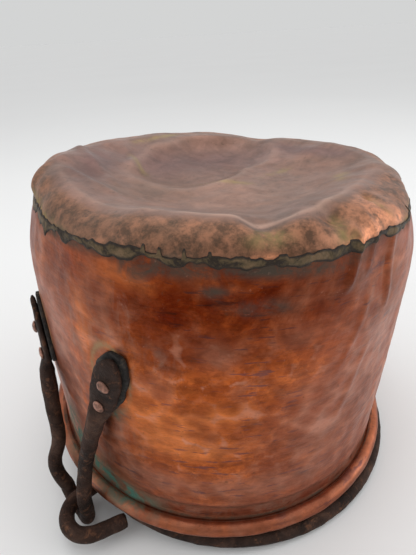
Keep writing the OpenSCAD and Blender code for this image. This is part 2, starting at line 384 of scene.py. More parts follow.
def sweep(name, path, normals, half_w, half_t, power, material, seed, curve_r=None, rough=0.22, around=28):
    """A forged bar along a path. normals point across its thickness; curve_r bends its width to a wall."""
    n = len(path)
    tangent = np.gradient(path, axis=0)
    tangent /= np.linalg.norm(tangent, axis=1)[:, None]
    normals = normals - (normals * tangent).sum(1)[:, None] * tangent
    normals /= np.linalg.norm(normals, axis=1)[:, None]
    side = np.cross(normals, tangent)
    along = lengths(path)
    a = np.arange(around) * 2 * math.pi / around
    cos_p = np.sign(np.cos(a)) * np.abs(np.cos(a))[None, :] ** (2 / power[:, None])
    sin_p = np.sign(np.sin(a)) * np.abs(np.sin(a))[None, :] ** (2 / power[:, None])
    u = np.broadcast_to(np.arange(around) / around, (n, around))
    v = np.broadcast_to((along / along[-1])[:, None], (n, around))
    length = along[-1]
    lumps = smooth_noise(u, v, 5, max(4, int(length / 9)), seed)
    lumps = lumps + 0.6 * smooth_noise(u, v, 9, max(4, int(length / 4)), seed + 1)
    lumps = lumps - 0.7 * hammer_marks(u, v, 4, max(4, int(length / 8)), seed + 2)
    w = half_w[:, None] * cos_p + rough * lumps * np.cos(a)
    t = half_t[:, None] * sin_p + rough * lumps * np.sin(a)
    if curve_r is not None:
        t = t - w ** 2 / (2 * curve_r) * (half_t[:, None] < 4)
    points = path[:, None, :] + side[:, None, :] * w[..., None] + normals[:, None, :] * t[..., None]
    faces = grid_faces(n, around)
    flat = points.reshape(-1, 3)
    extra = []
    for row, inward in ((0, 1), (n - 1, -1)):
        ring = points[row]
        middle = ring.mean(0)
        first = len(flat) + len(extra)
        extra.extend(middle + (ring - middle) * 0.72 - tangent[row] * inward * 0.7)
        extra.append(middle - tangent[row] * inward * 0.8)
        for j in range(around):
            k = (j + 1) % around
            quad = (row * around + j, row * around + k, first + k, first + j)
            tri = (first + j, first + k, first + around)
            faces += [f[::-1] if inward > 0 else f for f in (quad, tri)]
    return new_piece(name, np.vstack([flat, extra]), faces, material)


# ---- Node materials ----

class Nodes:
    """A material's node tree, with short calls for the nodes used here."""

    def __init__(self, name):
        self.material = bpy.data.materials.new(name)
        self.material.use_nodes = True
        self.tree = self.material.node_tree
        self.shader = self.tree.nodes["Principled BSDF"]
        self.coords = self.add("TexCoord").outputs["Object"]

    def link(self, source, target):
        self.tree.links.new(source, target)

    def feed(self, value, socket):
        if isinstance(value, tuple):
            socket.default_value = (*value, 1)
        elif isinstance(value, (int, float)):
            socket.default_value = value
        else:
            self.link(value, socket)

    def add(self, kind, **values):
        node = self.tree.nodes.new("ShaderNode" + kind)
        for name, value in values.items():
            node.inputs[name].default_value = value
        return node

    def noise(self, scale, detail=4, rough=0.55, distort=0.0, stretch=(1, 1, 1)):
        mapping = self.add("Mapping", Scale=stretch)
        node = self.add("TexNoise", Scale=scale, Detail=detail, Roughness=rough, Distortion=distort)
        self.link(self.coords, mapping.inputs["Vector"])
        self.link(mapping.outputs["Vector"], node.inputs["Vector"])
        return node.outputs["Fac"]

    def ramp(self, value, *stops):
        node = self.add("ValToRGB")
        self.link(value, node.inputs["Fac"])
        elements = node.color_ramp.elements
        while len(elements) < len(stops):
            elements.new(0.5)
        for element, (at, colour) in zip(elements, stops):
            element.position = at
            if isinstance(colour, (int, float)):
                colour = (colour, colour, colour)
            element.color = (*colour, 1)
        return node.outputs["Color"]

    def mask(self, name):
        node = self.add("Attribute")
        node.attribute_name = name
        return node.outputs["Fac"]

    def times(self, a, b):
        return self.math("MULTIPLY", a, b)

    def math(self, kind, a, b):
        node = self.add("Math")
        node.operation = kind
        self.feed(a, node.inputs[0])
        self.feed(b, node.inputs[1])
        return node.outputs[0]

    def mix(self, factor, a, b, kind="MIX"):
        node = self.add("Mix")
        node.data_type = "RGBA"
        node.blend_type = kind
        for name, value in (("Factor", factor), ("A", a), ("B", b)):
            self.feed(value, node.inputs[name])
        return node.outputs["Result"]

    def lay(self, colour, amount, share, tone):
        """The tone laid over the colour, by an amount times a share."""
        return self.mix(self.times(amount, share), colour, tone)

    def patchy(self, name, noise, *stops):
        """A painted mask broken up by noise."""
        return self.times(self.mask(name), self.ramp(noise, *stops))

    def bump(self, height, strength, distance):
        node = self.add("Bump", Strength=strength, Distance=distance)
        self.link(height, node.inputs["Height"])
        self.link(node.outputs["Normal"], self.shader.inputs["Normal"])

    def surface(self, colour, roughness, metallic, specular=0.5):
        for name, value in (("Base Color", colour), ("Roughness", roughness), ("Metallic", metallic),
                            ("Specular IOR Level", specular)):
            self.feed(value, self.shader.inputs[name])
        return self.material


def wall_copper():
    n = Nodes("wall_copper")
    orange, deep = (0.66, 0.165, 0.034), (0.38, 0.076, 0.016)
    pink, brown = (0.54, 0.225, 0.135), (0.10, 0.042, 0.022)
    dark_orange = (0.25, 0.045, 0.008)
    # broad clouds, then small mottling
    colour = n.mix(n.ramp(n.noise(17, 6, 0.62, 0.5), (0.38, 0.0), (0.62, 1.0)), deep, orange)
    mottle = n.ramp(n.noise(56, 6, 0.68, 0.5), (0.45, 0.0), (0.56, 1.0))
    colour = n.lay(colour, mottle, 0.5, dark_orange)
    spots = n.ramp(n.noise(150, 6, 0.74, 0.3), (0.46, 0.0), (0.56, 1.0))
    colour = n.lay(colour, spots, 0.5, dark_orange)
    rosy = n.ramp(n.noise(36, 6, 0.66, 0.6), (0.48, 0.0), (0.62, 1.0))
    colour = n.lay(colour, rosy, 0.5, pink)
    colour = n.lay(colour, n.mask("polish"), 0.8, (0.88, 0.27, 0.075))
    # pink copper tone, with painted sheen in the tall bands at azimuth -92 and 2
    colour = n.lay(colour, n.mask("pink"), 0.7, (0.44, 0.19, 0.125))
    # hammer marks: dark in the hollows, with a pale net of ridges between them
    hollow = n.mask("hollow")
    inner = n.ramp(n.noise(26, 4), (0.36, 0.1), (0.54, 1.0))
    inner = n.times(n.ramp(hollow, (0.35, 0.0), (0.95, 1.0)), inner)
    colour = n.lay(colour, inner, 0.55, dark_orange)
    ridge = n.ramp(n.noise(31, 4), (0.38, 0.15), (0.56, 1.0))
    ridge = n.times(n.ramp(hollow, (0.0, 1.0), (0.30, 0.0)), ridge)
    colour = n.lay(colour, n.times(ridge, n.mask("net")), 0.6, (0.70, 0.34, 0.235))
    # fine level brush marks and short dark strokes
    brush = n.ramp(n.noise(85, 6, 0.68, 0.3, (1, 1, 2.4)), (0.36, 0.62), (0.58, 1.0))
    colour = n.mix(0.8, colour, brush, "MULTIPLY")
    strokes = n.ramp(n.noise(62, 3, 0.55, 0.15, (1, 1, 7)), (0.61, 0.0), (0.65, 1.0))
    strokes = n.times(strokes, n.ramp(n.noise(19, 3), (0.44, 0.0), (0.56, 1.0)))
    colour = n.lay(colour, strokes, 0.6, (0.105, 0.052, 0.068))
    # painted shade from the shade mask, then patina
    shade_noise = n.ramp(n.noise(30, 6, 0.70, 0.8), (0.38, 0.6), (0.60, 1.0))
    colour = n.mix(n.times(n.mask("shade"), shade_noise), colour, (0.30, 0.13, 0.025), "MULTIPLY")
    dust = n.patchy("dust", n.noise(90, 6, 0.7, 0.5, (1, 1, 0.35)), (0.44, 0.0), (0.60, 1.0))
    colour = n.lay(colour, dust, 0.45, (0.25, 0.155, 0.11))
    grime = n.patchy("grime", n.noise(80, 6, 0.72, 0.6), (0.38, 0.2), (0.60, 1.0))
    colour = n.mix(grime, colour, (0.055, 0.036, 0.022))
    halo = n.patchy("halo", n.noise(150, 5, 0.7, 0.5), (0.36, 0.3), (0.56, 1.0))
    colour = n.mix(halo, colour, (0.33, 0.205, 0.10))
    specks = n.ramp(n.noise(280, 4, 0.65), (0.62, 0.0), (0.72, 1.0))
    colour = n.lay(colour, specks, 0.5, brown)
    light_specks = n.ramp(n.noise(340, 3, 0.6), (0.66, 0.0), (0.76, 1.0))
    colour = n.lay(colour, light_specks, 0.15, (0.60, 0.34, 0.25))
    green = n.patchy("verdigris", n.noise(75, 6, 0.72, 0.6), (0.40, 0.0), (0.56, 1.0))
    colour = n.mix(green, colour, (0.055, 0.15, 0.11))
    crust = n.math("MAXIMUM", n.math("MAXIMUM", grime, halo), green)
    rough = n.mix(crust, n.ramp(n.noise(60, 5, 0.6), (0.3, 0.33), (0.7, 0.50)), (0.8, 0.8, 0.8))
    metal = n.math("SUBTRACT", 0.96, n.times(n.math("MAXIMUM", crust, n.times(dust, 0.5)), 0.75))
    fine = n.math("ADD", n.noise(200, 4, 0.6), n.times(n.noise(44, 3, 0.5, 0.0, (1, 1, 18)), 0.5))
    n.bump(fine, 0.4, 0.0007)
    return n.surface(colour, rough, metal)


def base_copper():
    n = Nodes("base_copper")
    mauve, brown, rose = (0.29, 0.165, 0.13), (0.155, 0.088, 0.060), (0.36, 0.185, 0.125)
    colour = n.mix(n.ramp(n.noise(14, 6, 0.62, 0.7), (0.36, 0.0), (0.62, 1.0)), brown, mauve)
    colour = n.lay(colour, n.ramp(n.noise(30, 6, 0.64, 0.5), (0.44, 0.0), (0.62, 1.0)), 0.35, rose)
    colour = n.lay(colour, n.mask("pink"), 0.6, (0.40, 0.225, 0.165))
    # painted shade: dark purple over the basin at the back and along two other lines
    colour = n.lay(colour, n.mask("plum_shade"), 0.75, (0.18, 0.10, 0.092))
    mottle = n.ramp(n.noise(85, 6, 0.7, 0.6), (0.38, 0.62), (0.60, 1.0))
    colour = n.mix(0.7, colour, mottle, "MULTIPLY")
    stain = n.patchy("stain", n.noise(60, 5, 0.65, 0.8), (0.40, 0.1), (0.60, 1.0))
    colour = n.lay(colour, stain, 0.6, (0.34, 0.25, 0.085))
    # the shoulder is brown, spotted and worn through to bright metal in places
    worn = n.ramp(n.noise(130, 6, 0.76), (0.40, 0.0), (0.60, 1.0))
    shoulder_tone = n.mix(worn, (0.085, 0.040, 0.019), (0.38, 0.165, 0.088))
    colour = n.lay(colour, n.mask("shoulder"), 0.8, shoulder_tone)
    grime = n.patchy("grime", n.noise(70, 6, 0.72, 0.6), (0.36, 0.2), (0.60, 1.0))
    colour = n.mix(grime, colour, (0.07, 0.055, 0.036))
    polish = n.patchy("polish", n.noise(90, 6, 0.78, 0.2), (0.38, 0.0), (0.58, 1.0))
    colour = n.lay(colour, polish, 0.9, (0.90, 0.36, 0.18))
    olive = n.patchy("olive", n.noise(110, 5, 0.7, 0.6), (0.40, 0.2), (0.58, 1.0))
    colour = n.lay(colour, olive, 0.8, (0.24, 0.185, 0.062))
    # painted highlight: a pale line along the front crest, and weaker round the basin's edge
    ridge = n.patchy("ridge", n.noise(50, 4), (0.3, 0.3), (0.6, 1.0))
    colour = n.lay(colour, ridge, 0.65, (0.56, 0.36, 0.28))
    specks = n.ramp(n.noise(300, 4, 0.65), (0.60, 0.0), (0.70, 1.0))
    colour = n.lay(colour, specks, 0.5, (0.07, 0.045, 0.03))
    crust = n.math("MAXIMUM", grime, olive)
    rough = n.mix(crust, n.ramp(n.noise(50, 5, 0.6), (0.3, 0.38), (0.7, 0.54)), (0.8, 0.8, 0.8))
    metal = n.math("SUBTRACT", 0.72, n.times(crust, 0.5))
    n.bump(n.noise(180, 6, 0.66), 0.45, 0.0007)
    return n.surface(colour, rough, metal)


def braze_metal():
    n = Nodes("braze")
    olive = n.ramp(n.noise(110, 6, 0.72, 0.6), (0.42, (0.026, 0.017, 0.011)), (0.52, (0.090, 0.062, 0.030)),
                   (0.68, (0.18, 0.112, 0.060)))
    edge = n.math("ADD", n.mask("edge"), n.times(n.noise(160, 4, 0.7), 0.5))
    edge = n.ramp(edge, (0.55, 0.0), (0.95, 1.0))
    colour = n.mix(edge, olive, (0.026, 0.018, 0.013))
    rough = n.ramp(n.noise(90, 3), (0.3, 0.5), (0.7, 0.75))
    n.bump(n.noise(260, 6, 0.7), 0.8, 0.0012)
    return n.surface(colour, rough, 0.25, 0.3)


def forged_iron():
    n = Nodes("iron")
    dark = n.ramp(n.noise(38, 6, 0.70, 0.6), (0.36, (0.014, 0.008, 0.006)), (0.52, (0.040, 0.021, 0.015)),
                  (0.70, (0.10, 0.053, 0.036)))
    rust = n.ramp(n.noise(170, 6, 0.72, 0.5), (0.55, 0.0), (0.66, 1.0))
    colour = n.mix(n.times(rust, 0.65), dark, (0.18, 0.078, 0.040))
    rough = n.ramp(n.noise(120, 4), (0.3, 0.58), (0.7, 0.82))
    height = n.math("ADD", n.noise(240, 6, 0.74), n.times(n.noise(95, 4, 0.6), 0.8))
    n.bump(height, 0.9, 0.0016)
    return n.surface(colour, rough, 0.2, 0.18)


def scaled_plate():
    n = Nodes("plate_iron")
    scale = n.ramp(n.noise(130, 6, 0.74, 0.8), (0.38, (0.014, 0.012, 0.011)), (0.52, (0.045, 0.041, 0.038)),
                   (0.66, (0.13, 0.085, 0.05)))
    rough = n.ramp(n.noise(140, 3), (0.3, 0.6), (0.7, 0.9))
    n.bump(n.noise(280, 6, 0.74), 1.0, 0.0022)
    return n.surface(scale, rough, 0.2, 0.25)


def rivet_metal():
    n = Nodes("rivet_copper")
    tarnish = n.ramp(n.noise(220, 5, 0.65, 0.4), (0.36, (0.07, 0.04, 0.03)), (0.50, (0.28, 0.14, 0.10)),
                     (0.66, (0.52, 0.27, 0.20)))
    rough = n.ramp(n.noise(200, 3), (0.3, 0.38), (0.7, 0.6))
    n.bump(n.noise(330, 5, 0.65), 0.6, 0.0008)
    return n.surface(tarnish, rough, 0.7)


def plain(name, colour, roughness):
    n = Nodes(name)
    tone = n.ramp(n.noise(1.5, 2), (0.3, tuple(c * 0.985 for c in colour)), (0.7, colour))
    rough = n.ramp(n.noise(3, 2), (0.3, roughness), (0.7, roughness + 0.05))
    return n.surface(tone, rough, 0.0, 0.0)


# ---- Copper body pieces ----

WALL_POLISH = [(-63, 123, 6, 13), (-57, 102, 8, 11), (-64, 208, 8, 7), (-51, 118, 6, 9), (-78, 178, 3, 22),
               (-42, 128, 6, 8), (-47, 96, 8, 8), (-93, 200, 9, 12)]
WALL_GRIME = [(-35, 198, 6, 4), (-31, 217, 9, 3.5), (-62, 213, 4, 6), (-52, 216, 10, 3), (-45, 207, 3, 3),
              (-88, 216, 9, 3), (40, 190, 14, 10), (150, 90, 12, 20), (-18, 214, 9, 3)]
# pink copper tone, and painted sheen in the tall bands at azimuth -92 and 2: azimuth, z, half width in
# degrees, half height in mm
WALL_PINK_AND_SHEEN = [(-92, 150, 7, 60), (2, 160, 15, 70), (-44, 172, 5, 10), (-18, 203, 12, 9), (-16, 110, 14, 34),
             (-28, 60, 22, 12), (-60, 62, 16, 10), (-27, 180, 7, 8), (-72, 190, 5, 18)]
WALL_DUST = [(-64, 186, 3, 22), (-70, 98, 6, 13), (-83, 150, 5, 40), (-57, 160, 3, 10),
             (-72, 165, 4, 22), (-76, 66, 7, 14), (0, 190, 5, 24), (95, 150, 18, 40), (-150, 160, 16, 30)]
WALL_GREEN = [(-92, 46, 12, 13), (-80, 40, 12, 8), (-69, 34, 9, 4.5), (-95, 66, 5, 16), (-71, 112, 3, 5),
              (105, 33, 18, 7)]


def shade_mask(az, z):
    """Painted shade, darker towards the top and deepest at the front left, with a darker band low on the
    neck.
    """
    height = ease((z - 138) / 66)
    side = 0.30 + 0.78 * near_az(az, -50, 30) + 0.5 * near_az(az, 150, 50)
    mottle = 0.30 * smooth_noise(turn_of(az), (z - STEP_Z) / 180, 26, 8, 91)
    low_band = 0.22 * ease((56 - z) / 14)
    return height * side + mottle * ease((z - 60) / 40) + low_band + 0.10


def halo_mask(az, z):
    """A tan ring left by old flux round each foot."""
    rings = 0
    for at, height in FEET:
        reach = np.hypot(az_gap(az, at) / 6.2, (z - height - 1) / 27)
        upper = 0.3 + 0.7 * ease((z - height + 14) / 16)
        rings = rings + 1.3 * np.exp(-((reach - 0.93) / 0.075) ** 2) * upper
    return rings


def lip_profile():
    """The rolled lip, from the slit beside the neck, over the roll, under it and up inside the mouth."""
    edge = [(130.4, 32.6), (130.9, 31.0), (131.2, 29.4), (131.6, 29.2), (131.9, 30.2), (132.5, 30.85)]
    top, low = LIP_TOP_Z, LIP_LOW_Z
    roll = [(135.4, top), (138.4, top - 1.4), (LIP_R, top - 4.4), (LIP_R - 1.2, low + 1.9), (134.8, low),
            (130.9, low + 1.7), (128.8, low + 6.0), (NECK_R - SHEET, low + 12)]
    curve = catmull([(r, z, 0) for r, z in edge + roll], 0.55)
    return curve[:, :2]


def side_wall(material):
    az = np.arange(COLUMNS) * 360.0 / COLUMNS
    top = seam_height(az) + 1.0
    rows = []
    for share in np.linspace(1, 0, 156):
        z = STEP_Z + 4 + (top - STEP_Z - 4) * share
        rows.append((wall_radius(az, z), z))
    u = turn_of(az)
    wave = 0.25 * smooth_noise(u, np.zeros(COLUMNS), 40, 2, 31)
    step = catmull([(WALL_LOW_R, STEP_Z + 3.2, 0), (WALL_LOW_R - 0.1, STEP_Z + 1.0, 0),
                    (NECK_R + 0.1, STEP_Z - 0.8, 0), (NECK_R - 0.1, STEP_Z - 3, 0),
                    (NECK_R, STEP_Z - 7.5, 0), (130.1, 33.6, 0)], 0.7)
    rows += [(r + wave + out_of_round(az, z), np.full(COLUMNS, z)) for r, z, _ in step]
    for r, z in lip_profile():
        lumps = 0.22 * smooth_noise(u, np.full(COLUMNS, (z - 20) / 12), 90, 5, 33)
        lumps = lumps - 0.25 * hammer_marks(u, np.full(COLUMNS, (z - 20) / 12), 70, 2, 34)
        grow = ease((r - 132) / 3)
        rows.append((r + lumps * grow + out_of_round(az, z), z + 0.3 * wave))
    low = LIP_LOW_Z + 16
    for share in np.linspace(0, 1, 46):
        z = low + (top - low) * share
        rows.append((wall_radius(az, np.maximum(z, STEP_Z)) - SHEET - 0.9 * ease((STEP_Z - z) / 4), z))
    points = np.stack([place(az, r, z) for r, z in rows])
    faces = grid_faces(len(rows), COLUMNS, wrap_rows=True)
    obj = new_piece("hammered_wall", points.reshape(-1, 3), faces, material)
    spread = np.broadcast_to(az, (len(rows), COLUMNS))
    height = points[..., 2]
    below_seam = seam_height(spread) - height
    groove = np.exp(-((height - 31.6) / 1.3) ** 2) * (np.hypot(points[..., 0], points[..., 1]) < 132.6)
    seam_dirt = ease((7 - below_seam) / 6) * 0.8

    def spots(table):
        return sum(blob(spread, height, centre) for centre in table)

    paint(obj, "polish", spots(WALL_POLISH))
    paint(obj, "verdigris", spots(WALL_GREEN))
    on_neck = ease((STEP_Z + 1 - height) / 3) * ease((height - 33) / 2)
    paint(obj, "dust", spots(WALL_DUST) + 1.2 * on_neck)
    paint(obj, "grime", spots(WALL_GRIME) + groove + seam_dirt
          + 0.45 * np.exp(-((height - STEP_Z + 1) / 2.2) ** 2))
    paint(obj, "pink", spots(WALL_PINK_AND_SHEEN) + 0.75 * ease((50 - height) / 6))
    # painted shade: the shade mask on the wall and neck, and a flat 0.38 over the rolled lip
    paint(obj, "shade", np.where(height > 33.5, shade_mask(spread, height), 0.38))
    paint(obj, "halo", halo_mask(spread, height))
    paint(obj, "net", ease((height - 60) / 25) * ease((205 - height) / 40)
          * (0.35 + 0.65 * near_az(spread, -52, 22)))
    paint(obj, "hollow", np.where(height > 50, wall_marks(spread, height), 0.3))
    finish_piece(obj, "vessel", "wall_copper", "side_wall")


BASE_POLISH = [(-8, 225, 5, 4), (-2, 230, 4, 4), (-14, 223.5, 3, 1.6), (5, 224, 4, 4), (-35, 224, 3, 1)]
BASE_OLIVE = [(-16, 227, 2.6, 4), (-34, 230, 4, 3), (2, 229, 1.8, 2), (-100, 220, 18, 2.5), (10, 219, 14, 2)]
BASE_STAINS = [((-26, 66), (-32, 42), 3.0), ((-10, 8), (8, -12), 3.2), ((30, -12), (50, -12), 3.0),
               ((-2, 93), (30, 94), 3.5), ((34, -70), (48, -60), 4.0)]
# painted shade, dark purple, mostly over the basin at the back: from (x, y) to (x, y), half width in mm
BASE_PLUM_SHADE = [((0, 56), (36, 44), 24.0), ((-84, 30), (-60, 60), 12.0), ((84, 10), (88, -26), 9.0)]


def base_pan(material):
    side = COLUMNS // 4
    a, b = np.meshgrid(np.linspace(-1, 1, side + 1), np.linspace(-1, 1, side + 1))
    wide = np.abs(a) > np.abs(b)
    safe_a = np.where(a == 0, 1, a)
    safe_b = np.where(b == 0, 1, b)
    radius = np.where(wide, a, b)
    angle = np.where(wide, math.pi / 4 * b / safe_a, math.pi / 2 - math.pi / 4 * a / safe_b)
    x, y = radius * np.cos(angle), radius * np.sin(angle)
    q_disc = np.hypot(x, y) * 0.9
    az_disc = np.degrees(np.arctan2(x, -y))
    top = base_point(az_disc, q_disc).reshape(-1, 3)
    faces = grid_faces(side + 1, side + 1, wrap_cols=False)
    # the square grid's edge, walked once round, carries on as rings over the crest and down the shoulder
    edge = [j for j in range(side)] + [(i + 1) * (side + 1) - 1 for i in range(side)]
    edge += [(side + 1) ** 2 - 1 - j for j in range(side)] + [(side - i) * (side + 1) for i in range(side)]
    edge_az = az_disc.reshape(-1)[edge]
    q_rings = np.concatenate([np.arange(0.915, 1.0, 0.015), np.linspace(1.0, 2.0, 30)])
    rings = np.stack([base_point(edge_az, np.full(COLUMNS, q)) for q in q_rings])
    tuck = rings[-1].copy()
    tuck[:, 2] -= 1.2
    rings = np.concatenate([rings, tuck[None]])
    first = len(top)
    for j in range(COLUMNS):
        k = (j + 1) % COLUMNS
        faces.append((edge[j], first + j, first + k, edge[k]))
    faces += [f[::-1] for f in grid_faces(len(rings), COLUMNS, start=first)]
    outer = np.vstack([top, rings.reshape(-1, 3)])
    # the same surface again, a sheet's thickness inside
    flat_r = np.hypot(outer[:, 0], outer[:, 1])
    tilt = ease((flat_r - 104) / 24)
    inward = SHEET * np.stack([-outer[:, 0] / np.maximum(flat_r, 1) * tilt,
                               -outer[:, 1] / np.maximum(flat_r, 1) * tilt, -(1 - 0.8 * tilt)], -1)
    count = len(outer)
    faces_in = [tuple(v + count for v in f[::-1]) for f in faces]
    last = first + (len(rings) - 1) * COLUMNS
    rim = [(last + j, last + (j + 1) % COLUMNS, last + (j + 1) % COLUMNS + count, last + j + count)
           for j in range(COLUMNS)]
    obj = new_piece("dented_base", np.vstack([outer, outer + inward]), faces + faces_in + rim, material)
    x, y, z = np.vstack([outer, outer]).T
    az = np.degrees(np.arctan2(x, -y))
    r = np.hypot(x, y)
    crest = ring_curve(CREST_RADII, az)
    on_shoulder = ease((r - crest - 3) / 7)
    near_seam = ease((seam_height(az) + 2.5 - z) / 3) * (r > 105)
    left_side = 0.7 * near_az(az, -92, 22) * on_shoulder
    front_left = near_az(az, -60, 18) * on_shoulder
    # painted highlight along the front crest and, weaker, round the basin's edge
    lit_front_crest = np.exp(-((r - crest) / 2.2) ** 2) * near_az(az, -40, 50)
    lit_bowl_edge = np.exp(-((bowl_reach(x, y) - 1.1) / 0.1) ** 2) * (r < 90)
    for name, spots in (("polish", BASE_POLISH), ("olive", BASE_OLIVE)):
        paint(obj, name, sum(blob(az, z, c) for c in spots) * on_shoulder)
    # the plum mask is painted shade, stain is real staining
    for name, lines in (("plum_shade", BASE_PLUM_SHADE), ("stain", BASE_STAINS)):
        paint(obj, name, sum(fold(x, y, *line) for line in lines))
    paint(obj, "shoulder", on_shoulder)
    paint(obj, "ridge", lit_front_crest + 0.3 * lit_bowl_edge)
    paint(obj, "grime", 0.8 * near_seam + 0.55 * left_side + 0.35 * front_left)
    paint(obj, "pink", ease((85 - r) / 50) * near_az(az, -30, 80))
    finish_piece(obj, "vessel", "base_copper", "base_pan")


TABS = [(-59.4, 0.34, 5.0), (-56.0, 0.34, 4.4), (-51.0, 0.3, 5.2), (-46.0, 0.34, 5.0), (-39, 0.9, 3.2),
        (-31.5, 0.9, 3.6), (-23.0, 0.6, 3.0), (-14.5, 1.0, 3.4)]


def base_seam(material):
    """The brazed seam: a thin uneven band over the joint, with cramp tabs running up the shoulder."""
    cols = 2048
    az = np.arange(cols) * 360.0 / cols
    u = turn_of(az)
    zero = np.zeros(cols)
    low = -2.3 - 1.9 * smooth_noise(u, zero, 74, 2, 41) - 0.9 * smooth_noise(u, zero, 260, 2, 42)
    high = 1.7 + 1.7 * smooth_noise(u, zero, 82, 2, 43) + 0.8 * smooth_noise(u, zero, 300, 2, 44)
    thin = 0.7 + 0.4 * ease(0.5 + smooth_noise(u, zero, 14, 2, 45))
    thin += 0.6 * near_az(az, -92, 16)
    low, high = np.minimum(low * thin, -0.5), np.maximum(high * thin, 0.4)
    hidden = [(i * 20 + 6 * math.sin(5 * i), 0.4 + 0.15 * math.cos(3 * i), 5 + math.sin(2 * i))
              for i in range(1, 13)]
    for at, half, height in TABS + hidden:
        high = np.maximum(high, height * ease(1.8 - np.abs(az_gap(az, at)) / half))
    across = np.linspace(0, 1, 9)
    q_line = np.linspace(2, 1.3, 60)
    line = base_point(az[:, None], q_line[None, :])
    steps = np.linalg.norm(np.diff(line, axis=1), axis=2)
    climb = np.concatenate([np.zeros((cols, 1)), np.cumsum(steps, axis=1)], 1)
    rows = []
    for t in across:
        w = low + (high - low) * t
        q = np.array([np.interp(max(w[j], 0), climb[j], q_line) for j in range(cols)])
        up = base_point(az, q)
        z_wall = seam_height(az) + np.minimum(w, 0)
        down = place(az, wall_radius(az, z_wall), z_wall)
        rows.append(np.where((w > 0)[:, None], up, down))
    rows = np.stack(rows)
    out = np.stack([np.sin(np.radians(az)), -np.cos(np.radians(az)), np.full(cols, 0.35)], -1)
    swell = 0.10 + 0.55 * np.sin(math.pi * across) ** 0.6
    rough = 0.12 * smooth_noise(*np.broadcast_arrays(u, across[:, None]), 400, 5, 46)
    outer = rows + out * (swell[:, None] + rough)[..., None]
    inner = rows - out * 0.6
    points = np.concatenate([outer, inner[::-1]])
    faces = [f[::-1] for f in grid_faces(len(points), cols, wrap_rows=True)]
    obj = new_piece("base_seam", points.reshape(-1, 3), faces, material)
    rim = np.abs(2 * across - 1) ** 1.5
    outside = np.repeat(rim, cols)
    paint(obj, "edge", np.concatenate([outside, np.ones_like(outside)]))
    finish_piece(obj, "vessel", "braze", "base_seam_braze")


def rim_wire(material):
    """The iron wire inside the rolled lip, pushed in where the lip is."""
    bead_r = (LIP_TOP_Z - LIP_LOW_Z) / 2
    wire_r = bead_r - SHEET - 0.15
    cols, around = 256, 16
    az = np.arange(cols) * 360.0 / cols
    rows = []
    for turn in np.arange(around) * 2 * math.pi / around:
        z = np.full(cols, LIP_LOW_Z + bead_r + wire_r * math.sin(turn))
        rows.append(place(az, LIP_R - bead_r + wire_r * math.cos(turn) + out_of_round(az, z), z))
    faces = grid_faces(around, cols, wrap_rows=True)
    obj = new_piece("rim_wire_iron", np.concatenate(rows), faces, material)
    finish_piece(obj, "vessel", "iron", "rim_wire")


SIDE_SEAM_AZ = 150


def side_seam(material):
    """The brazed upright seam at the back of the wall, with an uneven edge."""
    levels = 360
    z = np.linspace(STEP_Z + 7, seam_height(SIDE_SEAM_AZ) - 3, levels)
    v = (z - z[0]) / (z[-1] - z[0])
    half = 1.6 + 0.6 * smooth_noise(np.zeros(levels), v, 3, 60, 51)
    across = np.linspace(-1, 1, 9)
    rows = []
    for lift, order in ((1, across), (-1, across[::-1])):
        for t in order:
            az = SIDE_SEAM_AZ + np.degrees(half * t / WALL_LOW_R)
            bead = 0.1 + 0.45 * (1 - t * t) if lift > 0 else -0.7
            rows.append(place(az, wall_radius(az, z) + bead, z))
    points = np.stack(rows)
    faces = grid_faces(len(rows), levels, wrap_rows=True, wrap_cols=False)
    low_end = tuple(i * levels for i in range(len(rows)))
    high_end = tuple(i + levels - 1 for i in low_end)
    obj = new_piece("side_seam", points.reshape(-1, 3), faces + [low_end, high_end[::-1]], material)
    paint(obj, "edge", np.repeat(np.concatenate([across, across[::-1]]) ** 2, levels))
    finish_piece(obj, "vessel", "braze", "side_seam_braze")


# ---- Ears, plates and rivets ----

def smooth_wall_r(z):
    return WALL_LOW_R + (WALL_TOP_R - WALL_LOW_R) * (z - STEP_Z) / (SEAM_Z - STEP_Z)


def foot_point(end, across, level, lift):
    """A point of the right ear's foot: across and along its leaning middle line, lifted off the wall."""
    level_up = level * math.cos(FOOT_LEAN) + across * math.sin(FOOT_LEAN)
    sideways = across * math.cos(FOOT_LEAN) - level * math.sin(FOOT_LEAN)
    z = FOOT_Z[end] + level_up
    r = smooth_wall_r(z) + lift
    a = math.radians(FOOT_ANGLE[end]) - sideways / smooth_wall_r(z)
    return [r * math.cos(a), end * r * math.sin(a), z]


def at_radius(r, y, z):
    return [math.sqrt(r * r - y * y), y, z]


def ear_path():
    """The middle line of the right ear, from the front foot's tip to the rear foot's."""
    foot_lift = BACKING_T + FOOT_T / 2
    arm_lift = BACKING_T + ROD_R - 1.2
    levels = [22, 16, 8, 0, -8, -16, -21]
    top = ROD_R + LOOP_BEND
    front = [foot_point(-1, 0, s, foot_lift) for s in levels] + [foot_point(-1, 0, -29, arm_lift)]
    front += [at_radius(139.5, -29, 82), at_radius(143, -24, 54),
              [LOOP_X - 0.5, LOOP_SHIFT - LOOP_HALF + 0.5, 36], [LOOP_X, LOOP_SHIFT - LOOP_HALF, 24]]
    rear = [at_radius(149.3, 8.5, 24), at_radius(148.5, 12, 35), at_radius(142.2, 12.5, 52),
            at_radius(139.5, 18.5, 78)]
    rear += [foot_point(1, 0, -29, arm_lift)] + [foot_point(1, 0, s, foot_lift) for s in levels[::-1]]
    loop = []
    reach = LOOP_HALF - LOOP_BEND
    for middle, start in ((LOOP_SHIFT - reach, 180), (LOOP_SHIFT + reach, 270)):
        for turn in range(0, 91, 15):
            a = math.radians(start + turn)
            loop.append([LOOP_X, middle + LOOP_BEND * math.cos(a), top + LOOP_BEND * math.sin(a)])
    return catmull(front + loop + rear, 1.3)


